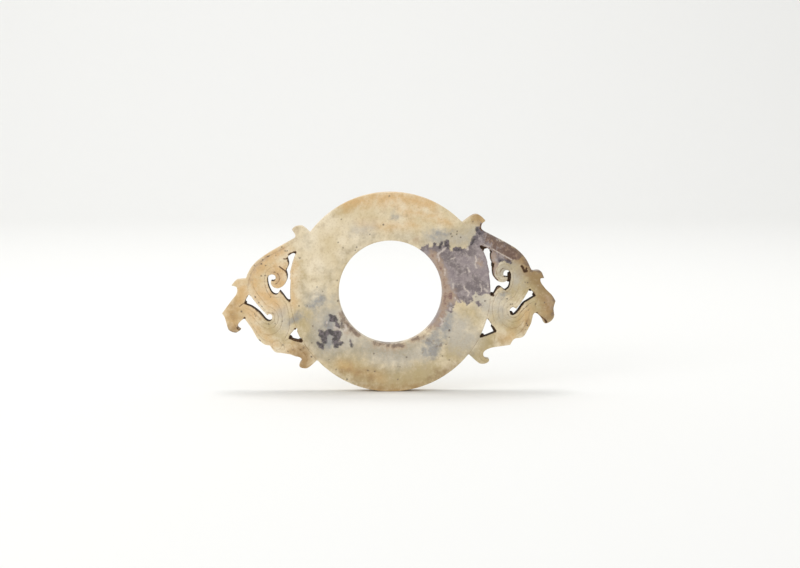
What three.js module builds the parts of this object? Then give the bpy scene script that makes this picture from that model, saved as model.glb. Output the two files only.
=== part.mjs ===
// Jade pendant: a flat ring of nephrite between two openwork birds, seen in profile and facing outwards.
// Millimetres, +Z up, +X to the viewer's right, the front face towards -Y.
// The pendant stands on the ring's rim, and the origin is where the rim touches the ground.

import * as THREE from 'three';

// Driving dimensions
const ringDiameter = 60;
const holeDiameter = 31;
const thickness = 4.5;
const holeChamfer = 0.3;
const leftBirdReach = 20.8;
const rightBirdReach = 19.7;

// How finely the curves are cut into flats: a flat is at least a step long and ends where the
// curve has turned this far
const ringFacets = 120;
const outlineStep = 0.35;
const flatTurnDegrees = 3;

// Sizes that follow from the driving dimensions
const ringRadius = ringDiameter / 2;
const holeRadius = holeDiameter / 2;
const halfThickness = thickness / 2;
const facetDegrees = 360 / ringFacets;

// The sides that the two birds stand on, as the sign of x
const LEFT = -1;
const RIGHT = 1;

// Every outline point is a pair: degrees round the ring, from its top down the bird's side, and
// the distance out from the ring's rim as a share of the bird's reach.
// Each row is one smooth stretch that starts where the row before it ends, so that the outline
// turns a sharp corner between rows. The first row of a table starts at its own first point.

// From the crest's root on the rim over the bird's back, round head and breast, to the foot's root
const leftBackShares = [
  [[53.3, 0], [52.9, 0.08], [53.1, 0.15], [55.3, 0.219], [57.3, 0.238]],
  [[58.1, 0.182], [58.9, 0.148], [59.9, 0.137], [62.4, 0.173], [65.8, 0.245], [73.5, 0.439], [78.5, 0.568],
    [82.5, 0.627], [84.6, 0.643]],
  [[85, 0.72], [85.5, 0.785], [87.4, 0.844]],
  [[87.9, 0.768]],
  [[89.5, 0.758], [91.2, 0.787], [92.8, 0.844], [97.1, 1]],
  [[98.3, 0.972], [101.9, 0.956], [103.1, 0.947], [104.3, 0.889], [104.6, 0.849], [104.1, 0.785]],
  [[103.1, 0.82], [102.2, 0.814], [100.9, 0.754], [100, 0.692]],
  [[104.3, 0.624], [109, 0.587], [111.4, 0.548], [112.9, 0.509], [113.8, 0.457]],
  [[116.5, 0.444], [117.8, 0.42], [118.8, 0.372], [122, 0.255], [124.1, 0.21], [125.7, 0.169], [127.4, 0.162]],
  [[128.5, 0.24], [129.6, 0.254], [130.7, 0.239], [132.3, 0.191], [132.8, 0.114], [132.8, 0]],
];
const rightBackShares = [
  [[45.9, 0], [46.4, 0.131], [47.6, 0.236], [49.9, 0.273], [53, 0.285]],
  [[53.1, 0.22], [53.9, 0.181], [55.1, 0.162], [57.2, 0.18], [60.4, 0.242], [67.4, 0.403], [71.7, 0.517],
    [76.1, 0.597], [80.6, 0.643]],
  [[81.5, 0.665], [81.7, 0.751], [82.2, 0.791], [84.8, 0.825]],
  [[84.7, 0.769]],
  [[86, 0.768], [88.6, 0.833], [91.1, 0.937], [93.1, 0.994]],
  [[95.7, 0.975], [98.4, 1], [100, 0.975], [101.3, 0.914], [101.5, 0.872]],
  [[100.2, 0.833], [98.2, 0.724], [98.3, 0.695], [99.1, 0.677]],
  [[102.3, 0.674], [105.4, 0.649], [108.2, 0.623], [109.2, 0.596], [109.8, 0.553], [110.5, 0.509],
    [111.6, 0.485], [113.9, 0.477]],
  [[118.3, 0.26], [119.9, 0.212], [121.4, 0.183], [122.5, 0.172], [123.6, 0.177], [124.6, 0.205],
    [125.1, 0.246], [124.3, 0.304]],
  [[125.3, 0.316], [126.6, 0.303], [128.1, 0.26], [128.8, 0.216], [128.9, 0.158], [128.5, 0]],
];

// The small triangle between rim and breast: from its foot on the rim, by its point, to its head on the rim
const leftTriangleShares = [
  [[119.6, 0], [117.9, 0.078], [116.4, 0.122], [114.4, 0.167]],
  [[113.1, 0.135], [110.4, 0]],
];
const rightTriangleShares = [
  [[117.5, 0], [114.8, 0.081], [110.4, 0.209]],
  [[108.9, 0.153], [108, 0.103], [104.8, 0]],
];

// The crescent between rim and wing: from its tail on the rim, round the volute, to its head on the rim
const leftCrescentShares = [
  [[96, 0], [93.8, 0.056], [91.4, 0.097], [89, 0.151]],
  [[90.8, 0.179], [91, 0.219], [90.1, 0.262], [86.7, 0.315], [83.4, 0.336], [82.3, 0.327], [81.4, 0.29],
    [81.5, 0.237], [82.7, 0.219], [83.8, 0.229], [84.4, 0.256]],
  [[84.2, 0.282]],
  [[85.4, 0.283], [86.6, 0.265], [87.6, 0.227], [87.9, 0.177], [87, 0.12], [85.7, 0.086], [83.5, 0.059],
    [81.6, 0.055], [80, 0.064], [78.4, 0.089]],
  [[76.5, 0.078], [74.5, 0.072], [73, 0.09], [71.3, 0.12]],
  [[69.7, 0.111], [68.1, 0.084], [66.8, 0.05], [66.3, 0]],
];
const rightCrescentShares = [
  [[92.7, 0], [91.1, 0.047], [89.1, 0.078], [87.6, 0.102], [87, 0.145], [87.5, 0.17], [89.1, 0.225]],
  [[87.8, 0.277], [84.2, 0.313], [80.9, 0.328], [79.7, 0.304], [79.2, 0.266], [79.6, 0.232], [80.9, 0.214],
    [82.3, 0.221]],
  [[82.3, 0.245], [82.6, 0.275]],
  [[83.4, 0.28], [84.2, 0.265], [84.9, 0.206], [84.8, 0.16], [84, 0.117], [82.7, 0.083], [80.8, 0.06],
    [78.3, 0.062], [76.2, 0.078], [75, 0.115]],
  [[73.9, 0.09], [72.4, 0.082], [70.6, 0.09], [69.1, 0.107], [68.1, 0.144]],
  [[66.9, 0.118], [64.5, 0.073], [61.9, 0]],
];

// The slit through the bird's middle: down the head's side, along the belly to the round end, and back
const leftSlitShares = [
  [[90.9, 0.597], [92.8, 0.641], [94.4, 0.669]],
  [[95.7, 0.574], [98.5, 0.47], [102.5, 0.392], [103.3, 0.361], [103.3, 0.327], [102.3, 0.301],
    [101.3, 0.293], [100.4, 0.305], [100.1, 0.328], [100.5, 0.36]],
  [[98, 0.417], [94.4, 0.498], [91.2, 0.575], [90.9, 0.597]],
];
const rightSlitShares = [
  [[88.4, 0.597], [89.8, 0.64], [91.4, 0.694]],
  [[92.7, 0.62], [94.9, 0.511], [98.4, 0.441], [100.6, 0.384], [100.6, 0.345], [99.8, 0.325], [98.8, 0.316],
    [97.8, 0.323], [97, 0.355], [97.6, 0.411]],
  [[95.7, 0.452], [91.9, 0.527], [90, 0.564], [88.4, 0.597]],
];

// The stone's colour on each region, warm where it is clean and greyer under the stain on the right
const materials = {
  ring: new THREE.MeshStandardMaterial({ color: '#dcc9a6', roughness: 0.45, metalness: 0 }),
  leftBird: new THREE.MeshStandardMaterial({ color: '#d6bf98', roughness: 0.45, metalness: 0 }),
  rightBird: new THREE.MeshStandardMaterial({ color: '#c4ae8e', roughness: 0.45, metalness: 0 }),
};

// A point at so many degrees down one side of the ring, at a radius from its centre
function pointAt(side, degrees, radius) {
  const angle = THREE.MathUtils.degToRad(degrees);
  return new THREE.Vector2(side * radius * Math.sin(angle), radius * Math.cos(angle));
}

// The radius of the ring's faceted rim at so many degrees
function rimRadiusAt(degrees) {
  const fromFacetMiddle = (degrees % facetDegrees) - facetDegrees / 2;
  const apothem = ringRadius * Math.cos(THREE.MathUtils.degToRad(facetDegrees / 2));
  return apothem / Math.cos(THREE.MathUtils.degToRad(fromFacetMiddle));
}

// A smooth run of points through a stretch's shares, with a corner wherever the curve has turned enough
function stretchRun(side, reach, stretchShares) {
  const knots = stretchShares.map(([degrees, reachShare]) => {
    const knot = pointAt(side, degrees, rimRadiusAt(degrees) + reachShare * reach);
    return new THREE.Vector3(knot.x, knot.y, 0);
  });
  const curve = new THREE.CatmullRomCurve3(knots, false, 'centripetal');
  const steps = Math.ceil(curve.getLength() / outlineStep);
  const corners = [knots[0]];
  let heading = curve.getTangentAt(0);
  for (let step = 1; step < steps; step += 1) {
    const tangent = curve.getTangentAt(step / steps);
    if (THREE.MathUtils.radToDeg(tangent.angleTo(heading)) > flatTurnDegrees) {
      corners.push(curve.getPointAt(step / steps));
      heading = tangent;
    }
  }
  corners.push(knots.at(-1));
  return corners.map((corner) => new THREE.Vector2(corner.x, corner.y));
}

// One run for each row of a table, where a row starts at the last point of the row before it
function stretchRuns(side, reach, tableShares) {
  return tableShares.map((row, index) => {
    const start = index === 0 ? [] : [tableShares[index - 1].at(-1)];
    return stretchRun(side, reach, [...start, ...row]);
  });
}

// The run up the rim from one angle to a smaller one, corner by corner along the ring's facets
function rimRun(side, fromDegrees, toDegrees) {
  const points = [pointAt(side, fromDegrees, rimRadiusAt(fromDegrees))];
  const firstCorner = Math.ceil(fromDegrees / facetDegrees) - 1;
  for (let corner = firstCorner; corner * facetDegrees > toDegrees; corner -= 1) {
    points.push(pointAt(side, corner * facetDegrees, ringRadius));
  }
  points.push(pointAt(side, toDegrees, rimRadiusAt(toDegrees)));
  return points;
}

// The angles at which a table's outline leaves the rim and comes back to it
const startDegrees = (tableShares) => tableShares[0][0][0];
const endDegrees = (tableShares) => tableShares.at(-1).at(-1)[0];

// Runs of points joined end to end, without the point that two runs share
function joined(runs) {
  return runs.flatMap((run) => run.slice(0, -1));
}

// A bird's shape: its back, and then up the rim past the triangle and the crescent, with the slit as a hole
function birdShape({ side, reach, backShares, triangleShares, crescentShares, slitShares }) {
  const outline = joined([
    ...stretchRuns(side, reach, backShares),
    rimRun(side, endDegrees(backShares), startDegrees(triangleShares)),
    ...stretchRuns(side, reach, triangleShares),
    rimRun(side, endDegrees(triangleShares), startDegrees(crescentShares)),
    ...stretchRuns(side, reach, crescentShares),
    rimRun(side, endDegrees(crescentShares), startDegrees(backShares)),
  ]);
  const shape = new THREE.Shape(outline);
  // A hole's edge runs the other way round from the outline
  shape.holes.push(new THREE.Path(joined(stretchRuns(side, reach, slitShares)).reverse()));
  return shape;
}

// A bird's plate, as thick as the ring and flush with both its faces
function birdPlate(name, material, bird) {
  const geometry = new THREE.ExtrudeGeometry(birdShape(bird), { depth: thickness, bevelEnabled: false });
  geometry.translate(0, 0, -halfThickness);
  const mesh = new THREE.Mesh(geometry, material);
  mesh.name = name;
  mesh.rotation.x = Math.PI / 2;
  return mesh;
}

// The ring: its section turned about the hole's axis, with the hole's edges broken by a small chamfer
function ringPlate() {
  const section = [
    [holeRadius, holeChamfer - halfThickness],
    [holeRadius + holeChamfer, -halfThickness],
    [ringRadius, -halfThickness],
    [ringRadius, halfThickness],
    [holeRadius + holeChamfer, halfThickness],
    [holeRadius, halfThickness - holeChamfer],
    [holeRadius, holeChamfer - halfThickness],
  ].map(([radius, depth]) => new THREE.Vector2(radius, depth));
  const mesh = new THREE.Mesh(new THREE.LatheGeometry(section, ringFacets), materials.ring);
  mesh.name = 'ring';
  return mesh;
}

// The pendant, raised so that the lowest point of the rim is on the ground
const pendant = new THREE.Group();
pendant.position.z = ringRadius;
pendant.add(
  ringPlate(),
  birdPlate('left_bird', materials.leftBird, {
    side: LEFT,
    reach: leftBirdReach,
    backShares: leftBackShares,
    triangleShares: leftTriangleShares,
    crescentShares: leftCrescentShares,
    slitShares: leftSlitShares,
  }),
  birdPlate('right_bird', materials.rightBird, {
    side: RIGHT,
    reach: rightBirdReach,
    backShares: rightBackShares,
    triangleShares: rightTriangleShares,
    crescentShares: rightCrescentShares,
    slitShares: rightSlitShares,
  }),
);

export default pendant;
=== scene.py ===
# Jade pendant: the looks of a flat ring of nephrite between two openwork birds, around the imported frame.
# Metres, +Z up, +X to the viewer's right, the front face towards -Y. The ring stands on the ground.

import math

import bpy
import numpy as np
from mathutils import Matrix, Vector


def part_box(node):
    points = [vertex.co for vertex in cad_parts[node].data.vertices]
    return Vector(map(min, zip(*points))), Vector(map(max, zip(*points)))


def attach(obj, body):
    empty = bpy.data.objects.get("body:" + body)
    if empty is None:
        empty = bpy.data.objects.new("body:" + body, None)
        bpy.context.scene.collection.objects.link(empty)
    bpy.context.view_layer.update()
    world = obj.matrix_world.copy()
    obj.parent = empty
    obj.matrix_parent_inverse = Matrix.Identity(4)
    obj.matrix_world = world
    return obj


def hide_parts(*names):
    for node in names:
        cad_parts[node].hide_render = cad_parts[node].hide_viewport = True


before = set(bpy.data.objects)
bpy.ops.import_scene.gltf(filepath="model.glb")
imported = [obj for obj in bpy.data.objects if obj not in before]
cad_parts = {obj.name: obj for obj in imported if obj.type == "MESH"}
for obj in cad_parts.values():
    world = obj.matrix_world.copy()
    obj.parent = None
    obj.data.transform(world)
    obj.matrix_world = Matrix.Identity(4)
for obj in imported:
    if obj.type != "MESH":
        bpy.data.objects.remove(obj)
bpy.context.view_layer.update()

bl_info = {
    "name": "Jade pendant",
    "version": (1, 0, 0),
    "blender": (4, 5, 0),
    "location": "3D View > Sidebar > Pendant",
    "description": "Carves, stains and lights a flat openwork pendant of nephrite",
    "category": "Object",
}

# Sizes that the frame gives
MM = 0.001
RING_LOW, RING_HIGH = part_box("ring")
RING_RADIUS = (RING_HIGH.x - RING_LOW.x) / 2
RING_CENTRE = (RING_LOW + RING_HIGH) / 2
THICKNESS = RING_HIGH.y - RING_LOW.y
FACES = (RING_LOW.y, RING_HIGH.y)

# The regions of the stone: each piece of the visual model stands for one node of the frame
RING = "ring"
LEFT_BIRD = "left_bird"
RIGHT_BIRD = "right_bird"

# Every place below is a pair, across and up from the ring's centre, in shares of the ring's radius.
# The same places are carved and stained on the back, as on a plate that is worked from both faces.

# Lines that are cut deep: notches at the openings, the contour beside the ring and the hollow of the curl,
# and on the right bird the wing's lower edge and the breast
DEEP_LINE_SHARES = {
    LEFT_BIRD: [
        [(-1.04, 0.208), (-1.072, 0.236), (-1.103, 0.258)],
        [(-1.03, 0.339), (-1.052, 0.338), (-1.07, 0.336)],
        [(-1.445, -0.106), (-1.475, -0.117), (-1.505, -0.142)],
        [(-1.075, -0.07), (-1.04, -0.11), (-1.02, -0.17), (-1.008, -0.24), (-1.003, -0.31), (-1.008, -0.36),
         (-1.025, -0.41), (-1.052, -0.46), (-1.07, -0.505)],
        [(-1.185, 0.205), (-1.14, 0.2), (-1.108, 0.165), (-1.105, 0.125), (-1.13, 0.092), (-1.165, 0.082)],
    ],
    RIGHT_BIRD: [
        [(0.9, 0.492), (0.936, 0.475), (1, 0.44), (1.07, 0.401), (1.14, 0.362), (1.205, 0.326)],
        [(1.085, 0.01), (1.05, -0.045), (1.027, -0.11), (1.02, -0.18), (1.03, -0.25), (1.05, -0.31)],
        [(1.115, -0.305), (1.145, -0.335), (1.185, -0.355), (1.225, -0.365), (1.27, -0.355), (1.31, -0.325),
         (1.335, -0.28)],
        [(1.165, 0.235), (1.125, 0.24), (1.097, 0.205), (1.105, 0.165), (1.13, 0.147)],
    ],
    RING: [],
}

# Lines that are only scratched: the wing's upper edge, the curl's turns, the loops round the slit, the
# breast and the foot, and three scratches on the ring
FINE_LINE_SHARES = {
    LEFT_BIRD: [
        [(-0.97, 0.5), (-1.03, 0.458), (-1.1, 0.422), (-1.16, 0.39), (-1.22, 0.357), (-1.28, 0.313),
         (-1.345, 0.255), (-1.393, 0.17), (-1.412, 0.09), (-1.42, 0.02)],
        [(-1.1, 0.256), (-1.15, 0.262), (-1.2, 0.243), (-1.235, 0.205), (-1.25, 0.15), (-1.25, 0.09),
         (-1.238, 0.04), (-1.212, -0.015), (-1.165, -0.048), (-1.11, -0.045)],
        [(-1.37, 0), (-1.345, -0.045), (-1.31, -0.1), (-1.27, -0.155), (-1.235, -0.195), (-1.2, -0.197),
         (-1.165, -0.215), (-1.152, -0.25), (-1.162, -0.29), (-1.195, -0.317), (-1.235, -0.318),
         (-1.278, -0.29), (-1.32, -0.238), (-1.36, -0.2), (-1.4, -0.172), (-1.435, -0.16)],
        [(-1.375, 0.12), (-1.36, 0.05), (-1.325, -0.01), (-1.28, -0.07), (-1.235, -0.125), (-1.185, -0.15),
         (-1.14, -0.185), (-1.115, -0.245), (-1.125, -0.305), (-1.165, -0.35), (-1.225, -0.363),
         (-1.285, -0.335), (-1.335, -0.285), (-1.375, -0.24), (-1.42, -0.21)],
        [(-1.165, -0.085), (-1.115, -0.125), (-1.085, -0.19), (-1.078, -0.28), (-1.1, -0.36),
         (-1.15, -0.41), (-1.22, -0.427), (-1.285, -0.405), (-1.33, -0.35)],
        [(-1.41, -0.275), (-1.375, -0.335), (-1.335, -0.395), (-1.295, -0.445), (-1.25, -0.482),
         (-1.205, -0.495)],
        [(-1.01, -0.462), (-1.045, -0.478), (-1.085, -0.488)],
        [(-1.055, -0.51), (-1.062, -0.55), (-1.05, -0.59)],
        [(-1, -0.535), (-0.99, -0.56), (-0.985, -0.59)],
        [(-0.975, -0.54), (-0.965, -0.565), (-0.96, -0.595)],
        [(-0.93, -0.555), (-0.885, -0.585), (-0.845, -0.63), (-0.83, -0.68), (-0.845, -0.72)],
    ],
    RIGHT_BIRD: [
        [(0.935, 0.585), (1, 0.545), (1.08, 0.503), (1.15, 0.465), (1.25, 0.4), (1.32, 0.325),
         (1.365, 0.24)],
        [(1.2, 0.265), (1.14, 0.283), (1.085, 0.262), (1.06, 0.205), (1.072, 0.15), (1.11, 0.122),
         (1.15, 0.125)],
        [(1.2, 0.262), (1.22, 0.21), (1.228, 0.15), (1.222, 0.09), (1.203, 0.035), (1.165, 0),
         (1.115, -0.005)],
        [(1.348, 0.015), (1.313, -0.035), (1.283, -0.08), (1.25, -0.118), (1.205, -0.122), (1.17, -0.155),
         (1.167, -0.205), (1.19, -0.245), (1.235, -0.258), (1.28, -0.235), (1.303, -0.2), (1.335, -0.167),
         (1.375, -0.13), (1.43, -0.09)],
        [(1.285, 0.06), (1.265, 0), (1.235, -0.045), (1.19, -0.075), (1.145, -0.11), (1.125, -0.165),
         (1.13, -0.23), (1.165, -0.28), (1.225, -0.302), (1.285, -0.285), (1.33, -0.235), (1.36, -0.19),
         (1.405, -0.155)],
        [(1.14, -0.04), (1.1, -0.09), (1.08, -0.16), (1.085, -0.24), (1.105, -0.29)],
        [(1.395, -0.19), (1.385, -0.25), (1.36, -0.31), (1.33, -0.365), (1.295, -0.41), (1.25, -0.432)],
        [(0.92, -0.575), (0.897, -0.605), (0.892, -0.65), (0.915, -0.685), (0.95, -0.702)],
        [(1.045, -0.43), (1.042, -0.465), (1.04, -0.5)],
        [(1.45, -0.105), (1.453, -0.125), (1.452, -0.15)],
    ],
    RING: [
        [(-0.745, 0.243), (-0.725, 0.232), (-0.712, 0.218)],
        [(-0.7, 0.198), (-0.675, 0.196), (-0.65, 0.195)],
        [(0.622, -0.708), (0.635, -0.715), (0.652, -0.727)],
    ],
}

# Small round rings on a bird: across, up and radius
RING_LINE_SHARES = {
    LEFT_BIRD: [(-1.135, -0.53, 0.047)],
    RIGHT_BIRD: [],
    RING: [],
}

# The line round the ring's rim where the birds join it: degrees from the ring's top, clockwise
RIM_LINE_DEGREES = [(93, 104.5), (117.8, 128), (227.5, 240), (250, 263.5)]

# Pits in the faces, with the soil that fills them: across, up and radius
PIT_SHARES = [
    (-0.01, 0.962, 0.008), (-0.07, 0.677, 0.009), (-0.205, 0.58, 0.006), (-0.47, 0.448, 0.007),
    (-0.52, 0.5, 0.006), (-0.335, 0.45, 0.008), (-0.35, 0.42, 0.006), (-0.9, 0.343, 0.008),
    (-0.53, 0.122, 0.007), (-0.73, 0.055, 0.007), (-0.675, 0.01, 0.006), (-0.485, 0.73, 0.005),
    (-0.525, -0.085, 0.009), (-0.91, -0.135, 0.006), (-0.83, -0.135, 0.006), (-0.775, -0.335, 0.007),
    (-0.165, -0.615, 0.008), (0.16, -0.65, 0.009), (-0.545, -0.775, 0.008), (-0.435, -0.875, 0.009),
    (-0.375, -0.905, 0.006), (-0.225, -0.785, 0.009), (-0.155, -0.795, 0.007), (0.075, -0.875, 0.008),
    (0.075, -0.745, 0.006), (0.095, -0.75, 0.006), (-0.615, -0.675, 0.005), (-0.785, -0.505, 0.007),
    (-0.79, -0.645, 0.008), (-0.87, -0.557, 0.006), (0.59, -0.38, 0.011), (0.59, -0.45, 0.006),
    (0.555, -0.525, 0.007), (0.52, -0.64, 0.008), (0.59, -0.68, 0.006), (0.945, -0.088, 0.009),
    (0.85, -0.045, 0.006), (0.6, 0.585, 0.008), (0.615, 0.56, 0.008), (0.665, 0.61, 0.008),
    (0.66, 0.58, 0.008), (0.7, 0.548, 0.007), (0.82, 0.705, 0.006),
    (-1.285, 0.288, 0.008), (-1.24, 0.27, 0.008), (-1.285, 0.167, 0.007), (-1.247, 0.168, 0.005),
    (-1.22, 0.36, 0.008), (-1.205, 0.367, 0.007), (-1.27, 0.327, 0.008), (-1.35, 0.27, 0.006),
    (-1.14, 0.37, 0.005), (-1.045, 0.417, 0.006), (-1.025, 0.417, 0.006), (-1.08, 0.455, 0.006),
    (-1.345, -0.045, 0.008), (-1.31, -0.1, 0.006), (-1.28, -0.14, 0.006), (-1.195, -0.045, 0.006),
    (-1.485, -0.188, 0.009), (-1.355, -0.215, 0.006), (-1.345, -0.235, 0.005), (-1.15, -0.31, 0.007),
    (-1.215, -0.315, 0.006), (-1.08, -0.29, 0.007), (-1.075, -0.525, 0.008), (-0.975, -0.575, 0.006),
    (-1.025, -0.59, 0.006), (-0.9, -0.575, 0.006),
    (1.165, -0.065, 0.008), (1.37, 0.095, 0.006), (1.345, 0.1, 0.005), (1.37, -0.335, 0.008),
    (1.36, -0.315, 0.007), (1.355, -0.375, 0.006), (1.335, -0.165, 0.005), (1.365, -0.145, 0.005),
    (1.38, -0.18, 0.005), (1.45, -0.12, 0.006), (1.2, -0.12, 0.006), (1.22, -0.118, 0.006),
    (1.54, -0.105, 0.006),
]

# Soil packed into the corners of the openings, each a radius and the run that it follows
CORNER_SOIL_SHARES = {
    LEFT_BIRD: [
        (0.016, [(-0.947, 0.402)]), (0.005, [(-0.955, 0.4), (-0.985, 0.39), (-1.012, 0.372)]),
        (0.011, [(-1.032, 0.339)]), (0.01, [(-1.046, 0.213)]),
        (0.012, [(-1.012, -0.089)]), (0.013, [(-1.447, -0.106)]), (0.01, [(-1.456, -0.258)]),
        (0.011, [(-0.952, -0.367)]), (0.016, [(-1, -0.457)]), (0.005, [(-0.985, -0.47), (-0.92, -0.486)]),
        (0.017, [(-0.905, -0.488), (-0.892, -0.49)]),
    ],
    RIGHT_BIRD: [
        (0.011, [(0.905, 0.463), (0.925, 0.45), (0.95, 0.443)]), (0.013, [(0.915, 0.448), (0.924, 0.425)]),
        (0.01, [(1.003, 0.407)]), (0.014, [(1.024, 0.28), (1.024, 0.26)]),
        (0.015, [(1.188, 0.18), (1.19, 0.15), (1.18, 0.115)]), (0.015, [(1.018, -0.022)]),
        (0.013, [(1.397, 0.02)]), (0.014, [(1.438, -0.032)]), (0.017, [(1.213, -0.215)]),
        (0.008, [(0.98, -0.27)]), (0.013, [(1.023, -0.35), (1.037, -0.373)]), (0.015, [(1.047, -0.392)]),
        (0.011, [(0.9, -0.447), (0.93, -0.435)]), (0.01, [(1.466, -0.207)]),
    ],
    RING: [],
}

# Stone that the saw left standing beside the ring, each a radius and the run that it follows
SPARED_STONE_SHARES = {
    LEFT_BIRD: [
        (0.02, [(-0.925, 0.385), (-0.942, 0.335), (-0.954, 0.3), (-0.968, 0.25), (-0.98, 0.2)]),
        (0.012, [(-0.984, 0.18), (-0.99, 0.14)]),
        (0.012, [(-0.922, -0.385), (-0.896, -0.445)]),
    ],
    RIGHT_BIRD: [
        (0.014, [(0.908, 0.42), (0.937, 0.35), (0.954, 0.3)]),
        (0.008, [(0.955, 0.3), (0.98, 0.2)]),
    ],
    RING: [],
}

# Soil on the faces, each a radius and the run that it follows: along the openings, in hollows of the
# outline and in a mark on the right bird's shoulder
FACE_SOIL_SHARES = [
    (0.015, [(-0.947, 0.402)]),
    (0.007, [(-0.955, 0.406), (-0.985, 0.396), (-1.012, 0.38)]),
    (0.011, [(-1.03, 0.34)]),
    (0.005, [(-1.035, 0.338), (-1.06, 0.337)]),
    (0.008, [(-1.02, 0.322), (-1.008, 0.297), (-1.01, 0.267), (-1.02, 0.247), (-1.035, 0.225)]),
    (0.009, [(-1.045, 0.214)]),
    (0.007, [(-1.045, 0.214), (-1.072, 0.236), (-1.102, 0.257)]),
    (0.005, [(-1.04, 0.2), (-1.025, 0.167), (-1.024, 0.13), (-1.04, 0.1)]),
    (0.005, [(-1.187, 0.13), (-1.167, 0.118), (-1.15, 0.124)]),
    (0.003, [(-1.216, 0.17), (-1.221, 0.12), (-1.21, 0.06), (-1.19, 0.02), (-1.165, -0.008),
             (-1.13, -0.014)]),
    (0.003, [(-1.106, 0.015), (-1.06, -0.035), (-1.02, -0.085)]),
    (0.006, [(-1.012, -0.09)]),
    (0.005, [(-1.004, 0.075), (-1.006, 0.05)]),
    (0.012, [(-1.447, -0.105)]),
    (0.005, [(-1.443, -0.095), (-1.434, -0.06), (-1.415, -0.03)]),
    (0.004, [(-1.455, -0.105), (-1.475, -0.115), (-1.503, -0.138)]),
    (0.003, [(-1.44, -0.11), (-1.4, -0.13), (-1.35, -0.165), (-1.28, -0.235), (-1.24, -0.272),
             (-1.21, -0.277)]),
    (0.01, [(-1.453, -0.254), (-1.467, -0.272)]),
    (0.005, [(-1.532, -0.352), (-1.52, -0.372), (-1.503, -0.377)]),
    (0.005, [(-1.59, -0.392), (-1.56, -0.402), (-1.525, -0.396)]),
    (0.006, [(-1.312, -0.475), (-1.298, -0.488)]),
    (0.01, [(-0.953, -0.367)]),
    (0.005, [(-0.967, -0.39), (-0.985, -0.41)]),
    (0.015, [(-1, -0.457)]),
    (0.004, [(-0.99, -0.464), (-0.96, -0.477), (-0.92, -0.484)]),
    (0.015, [(-0.905, -0.486), (-0.893, -0.49)]),
    (0.01, [(0.905, 0.462), (0.925, 0.45), (0.95, 0.442)]),
    (0.012, [(0.916, 0.447), (0.925, 0.422)]),
    (0.009, [(1.001, 0.412), (1.003, 0.4)]),
    (0.004, [(1.001, 0.395), (1, 0.36), (1.007, 0.325), (1.016, 0.3)]),
    (0.013, [(1.023, 0.283), (1.022, 0.257)]),
    (0.007, [(1.023, 0.24), (1.021, 0.2), (1.031, 0.165), (1.05, 0.137), (1.07, 0.122)]),
    (0.006, [(1.135, 0.158), (1.155, 0.172), (1.18, 0.184)]),
    (0.017, [(1.186, 0.178), (1.188, 0.145), (1.178, 0.112)]),
    (0.009, [(1.185, 0.09), (1.175, 0.05), (1.15, 0.026)]),
    (0.006, [(1.135, 0.03), (1.115, 0.055), (1.09, 0.056), (1.065, 0.035), (1.04, 0.005)]),
    (0.013, [(1.018, -0.02), (1.026, -0.03)]),
    (0.006, [(1.01, 0), (1.01, 0.02)]),
    (0.012, [(1.395, 0.018)]),
    (0.004, [(1.41, 0.012), (1.432, 0), (1.442, -0.02)]),
    (0.012, [(1.44, -0.035), (1.415, -0.036)]),
    (0.008, [(1.4, -0.045), (1.35, -0.085), (1.31, -0.135), (1.28, -0.18), (1.25, -0.212), (1.22, -0.222)]),
    (0.015, [(1.211, -0.216)]),
    (0.004, [(1.2, -0.163), (1.22, -0.15), (1.245, -0.163)]),
    (0.006, [(0.978, -0.27)]),
    (0.004, [(0.981, -0.277), (1, -0.31), (1.018, -0.34)]),
    (0.012, [(1.023, -0.35), (1.036, -0.373)]),
    (0.015, [(1.045, -0.391)]),
    (0.006, [(1.03, -0.402), (0.98, -0.417), (0.945, -0.432)]),
    (0.012, [(0.905, -0.445), (0.93, -0.436)]),
    (0.011, [(1.465, -0.21)]),
    (0.006, [(1.475, -0.222), (1.502, -0.243), (1.538, -0.27)]),
    (0.011, [(1.545, -0.276), (1.56, -0.298)]),
    (0.013, [(1.558, -0.302)]),
    (0.008, [(0.9, 0.68), (0.902, 0.655)]),
    (0.01, [(0.895, 0.64), (0.91, 0.625)]),
    (0.015, [(1.311, 0.259), (1.322, 0.243)]),
    (0.015, [(1.33, 0.224), (1.338, 0.208), (1.358, 0.211)]),
    (0.011, [(1.355, 0.24), (1.352, 0.216)]),
]

# Where soil clings to the walls: an outline round each opening
SOIL_POCKET_SHARES = [
    [(-0.88, 0.43), (-0.97, 0.44), (-1.06, 0.36), (-1.1, 0.27), (-1.16, 0.22), (-1.26, 0.2), (-1.26, 0.05),
     (-1.2, -0.05), (-1.1, -0.06), (-1, -0.13), (-0.96, -0.1), (-0.97, 0.1), (-0.92, 0.3)],
    [(-0.95, -0.33), (-1.04, -0.44), (-1.03, -0.49), (-0.87, -0.52), (-0.84, -0.49), (-0.92, -0.36)],
    [(-1.4, 0), (-1.48, -0.1), (-1.45, -0.14), (-1.33, -0.21), (-1.24, -0.31), (-1.16, -0.28),
     (-1.16, -0.2), (-1.24, -0.19)],
    [(0.87, 0.5), (1.02, 0.44), (1.05, 0.3), (1.13, 0.24), (1.22, 0.24), (1.22, 0.05), (1.16, 0),
     (1.06, -0.02), (1.01, -0.06), (0.98, -0.03), (0.97, 0.1), (0.9, 0.4)],
    [(0.97, -0.24), (1.09, -0.38), (1.06, -0.42), (0.9, -0.48), (0.88, -0.45)],
    [(1.38, 0.06), (1.48, -0.03), (1.45, -0.07), (1.33, -0.18), (1.25, -0.26), (1.17, -0.24), (1.17, -0.15),
     (1.26, -0.12)],
]

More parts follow.
